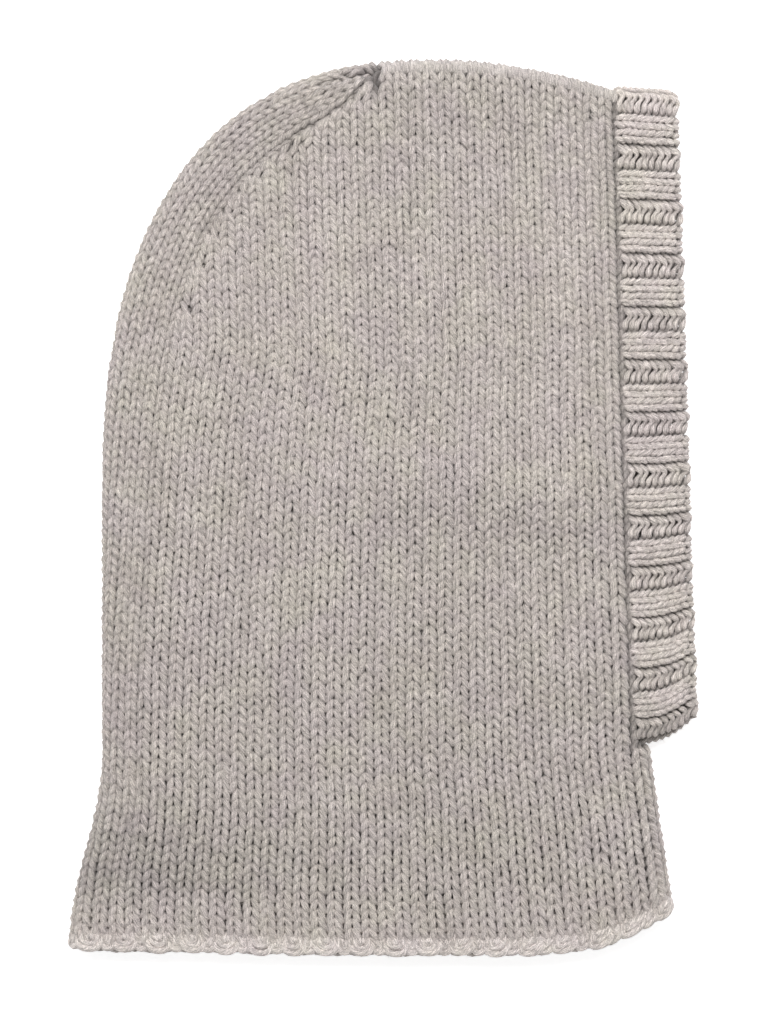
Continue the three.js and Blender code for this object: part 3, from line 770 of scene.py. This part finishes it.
band_t = round_steps(BAND_UPPER, BAND_STITCHES - BAND_UPPER)
band_rows = []
for row in range(BAND_ROWS + 1):
    across, rise, sunk, thick = rib_row(band_t, row)
    ground, out = band_place(across, rise)
    corners, length, proud = yarn_strand(ground, out, sunk, thick, YARN_SIDES)
    # painted light at the brow and painted shade at the chin
    pale = smooth((ground[:, 1] - BROW_LIGHT_FROM) / BAND_SHADE_OVER)
    dark = smooth((CHIN_SHADE_FROM - ground[:, 1]) / BAND_SHADE_OVER)
    lighter = BAND_SHADE * pale - BAND_SHADE * dark
    band_rows.append((corners, length, proud + lighter[:, None]))
# painted light: a lighter copy of the stocking stitch wool, with less painted shade
rib_lit_wool = wool("ribbed wool with painted light", (0.645, 0.594, 0.565), FIBRE_CONTRAST, 0.50)
band = yarn_piece("band_rounds", band_rows, YARN_SIDES, rib_lit_wool, closed=True)
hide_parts("face_band")


# The cast-on edge
# Plump loops of the cast-on yarn, one inside another, that cup under the first round like horseshoes, one nest
# to every two stitches and a smaller one between.
HEM_LOOPS = ROUND_STITCHES // 2
HEM_RADIUS = 1.5
HEM_STEPS = 13
HEM_CLOSE, HEM_SQUARE, HEM_ROW = 0.3, 0.8, 0.55     # how far the ends close in, the bend's power, and its row
HEM_TUCK, HEM_UNEVEN = 1.6, 0.1
HEM_SHIFT, HEM_SHIFT_UNEVEN = 0.5, 0.05
HEM_LEAN, HEM_LEAN_FROM, HEM_LEAN_OVER, HEM_LEAN_UNEVEN, HEM_UPRIGHT = 0.6, 18, 10, 0.08, 0.4
HEM_NEST = (                            # stitches aside, half width, depth in rows and its unevenness, lift
    (0, 0.74, 1.54, 0.06, 1.6),
    (0, 0.42, 1.00, 0.06, 1.6),
    (0, 0.10, 0.45, 0, 1.6),
    (1, 0.42, 1.45, 0, 1.2),
    (1, 0.14, 0.90, 0, 1.2),
)


def hem_loop(middle, half_wide, deep, lean, lift):
    """One horseshoe, as a half superellipse round a point of the first round, whose ends close in a little and
    sink into the cloth. It leans by a share of its height."""
    turn = np.linspace(-HEM_CLOSE, np.pi + HEM_CLOSE, HEM_STEPS)
    aside = np.sign(np.cos(turn)) * np.abs(np.cos(turn)) ** HEM_SQUARE
    down = np.sign(np.sin(turn)) * np.abs(np.sin(turn)) ** HEM_SQUARE
    stitch = middle + half_wide * aside + lean * (down - HEM_UPRIGHT)
    ground, out = neck_place(np.mod(stitch, ROUND_STITCHES), HEM_ROW - deep * down)
    sunk = lift + HEM_TUCK * smooth(down + HEM_CLOSE) - HEM_TUCK + wandering(turn, HEM_UNEVEN)
    return yarn_strand(ground, out, sunk, np.full(HEM_STEPS, HEM_RADIUS), YARN_SIDES)


hem_strands = []
for loop in range(HEM_LOOPS):
    middle = 2 * loop + HEM_SHIFT + draws.normal(0, HEM_SHIFT_UNEVEN)
    lean = HEM_LEAN * smooth((HEM_LEAN_FROM - middle) / HEM_LEAN_OVER) + draws.normal(0, HEM_LEAN_UNEVEN)
    for aside, half_wide, deep, uneven, lift in HEM_NEST:
        if uneven:
            deep = deep + draws.normal(0, uneven)
        hem_strands.append(hem_loop(middle + aside, half_wide, deep, lean, lift))
# painted light: a lighter copy of the stocking stitch wool, with less painted shade
hem_lit_wool = wool("cast-on wool with painted light", (0.655, 0.608, 0.583), FIBRE_CONTRAST, 0.30)
hem = yarn_piece("cast_on_loops", hem_strands, YARN_SIDES, hem_lit_wool)
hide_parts("hem_edge")


# The loose fibres
# Ends of wool one to three millimetres long, fine as a needle, that stand off the yarn all over and thickest
# round the sides.
FIBRES = 22000
FIBRE_RADIUS = 0.085
FIBRE_SHORT, FIBRE_LONG = 1.2, 3.2
FIBRE_ROOT = 0.2                        # how deep the root sits in the yarn
ROOT_PROUD, ROOT_LOWEST = 1.0, 3.0      # roots lie on the outer skin, clear of the floor
RIM_HEIGHT, RIM_SHARE = 14.5, 3.0       # below this height, round the sides, they are three times as many
FIBRE_OUT, FIBRE_SLANT = 0.8, 0.7
FIBRE_PROUD = 2.5


def fibre_needles(strands, count):
    """Needles rooted in the outer skin of the given strands: a small triangle across the root, and a tip that
    lies off it by the fibre's length, along the skin's outward ray turned aslant by a seeded draw."""
    skin = np.concatenate([corners.reshape(-1, 3) for corners, length, proud in strands])
    rays = [(corners - corners.mean(1, keepdims=True)).reshape(-1, 3) for corners, length, proud in strands]
    proud = np.concatenate([proud.ravel() for corners, length, proud in strands])
    outside = np.flatnonzero((proud > ROOT_PROUD) & (skin[:, 2] > ROOT_LOWEST))
    share = np.where(skin[outside, 2] < RIM_HEIGHT, RIM_SHARE, 1.0)
    root = draws.choice(outside, count, p=share / share.sum())
    ray = np.concatenate(rays)[root]
    ray = ray / np.linalg.norm(ray, axis=1, keepdims=True)
    aslant = ray * FIBRE_OUT + draws.normal(0, FIBRE_SLANT, (count, 3))
    aslant /= np.linalg.norm(aslant, axis=1, keepdims=True)
    start = skin[root] - FIBRE_ROOT * ray
    beside = np.cross(aslant, np.roll(aslant, 1, axis=1) + 0.01)
    beside /= np.linalg.norm(beside, axis=1, keepdims=True)
    over = np.cross(aslant, beside)
    turn = 2 * np.pi * np.arange(3)[:, None] / 3
    ring = start[:, None] + (beside[:, None] * np.cos(turn) + over[:, None] * np.sin(turn)) * FIBRE_RADIUS
    tip = start + aslant * draws.uniform(FIBRE_SHORT, FIBRE_LONG, (count, 1))
    return np.concatenate([ring, tip[:, None]], 1)


needles = fibre_needles(neck_rows + gusset_rows + right_rows + band_rows, FIBRES)
needle_faces = 4 * np.arange(FIBRES)[:, None, None] + np.array([(0, 2, 1), (0, 1, 3), (1, 2, 3), (2, 0, 3)])
fibre_mesh = bpy.data.meshes.new("loose_fibres")
fibre_mesh.from_pydata(needles.reshape(-1, 3) * MM, [], needle_faces.reshape(-1, 3))
fibre_proud = np.full(4 * FIBRES, FIBRE_PROUD, np.float32)
fibre_mesh.attributes.new("proud", "FLOAT", "POINT").data.foreach_set("value", fibre_proud)
fibre_mesh.materials.append(stocking_wool)
loose_fibres = bpy.data.objects.new("loose_fibres", fibre_mesh)
bpy.context.scene.collection.objects.link(loose_fibres)
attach(loose_fibres, "root")


# The floor and the light
# A wide sheet of pale paper, evenly bright, in a plain pale room, and one soft box beyond the crown.
FLOOR_HALF, FLOOR_DROP = 12, 0.0002
FLOOR_GLOW, ROOM_GLOW = 0.55, 0.57
KEY_PLACE, KEY_SIZE, KEY_POWER = (-0.02, 0.63, 1.05), 0.8, 12.2

floor_mesh = bpy.data.meshes.new("floor")
floor_corners = [(-FLOOR_HALF, -FLOOR_HALF, 0), (FLOOR_HALF, -FLOOR_HALF, 0),
                 (FLOOR_HALF, FLOOR_HALF, 0), (-FLOOR_HALF, FLOOR_HALF, 0)]
floor_mesh.from_pydata(floor_corners, [], [(0, 1, 2, 3)])
floor = bpy.data.objects.new("floor", floor_mesh)
bpy.context.scene.collection.objects.link(floor)
paper = bpy.data.materials.new("pale paper")
paper.use_nodes = True
paper_surface = paper.node_tree.nodes["Principled BSDF"]
paper_surface.inputs["Base Color"].default_value = (0.93, 0.93, 0.93, 1)
paper_surface.inputs["Roughness"].default_value = 0.9
paper_surface.inputs["Emission Color"].default_value = (1, 1, 1, 1)
paper_surface.inputs["Emission Strength"].default_value = FLOOR_GLOW
floor_mesh.materials.append(paper)
floor.location.z = -FLOOR_DROP

world = bpy.data.worlds.new("studio")
bpy.context.scene.world = world
world.use_nodes = True
world.node_tree.nodes["Background"].inputs["Color"].default_value = (1, 1, 1, 1)
world.node_tree.nodes["Background"].inputs["Strength"].default_value = ROOM_GLOW

key_light = bpy.data.lights.new("key", "AREA")
key_light.size = KEY_SIZE
key_light.energy = KEY_POWER
key = bpy.data.objects.new("key", key_light)
key.location = KEY_PLACE
key.rotation_euler = (-key.location).to_track_quat("-Z", "Y").to_euler()
bpy.context.scene.collection.objects.link(key)
bpy.context.scene.view_settings.view_transform = "Standard"
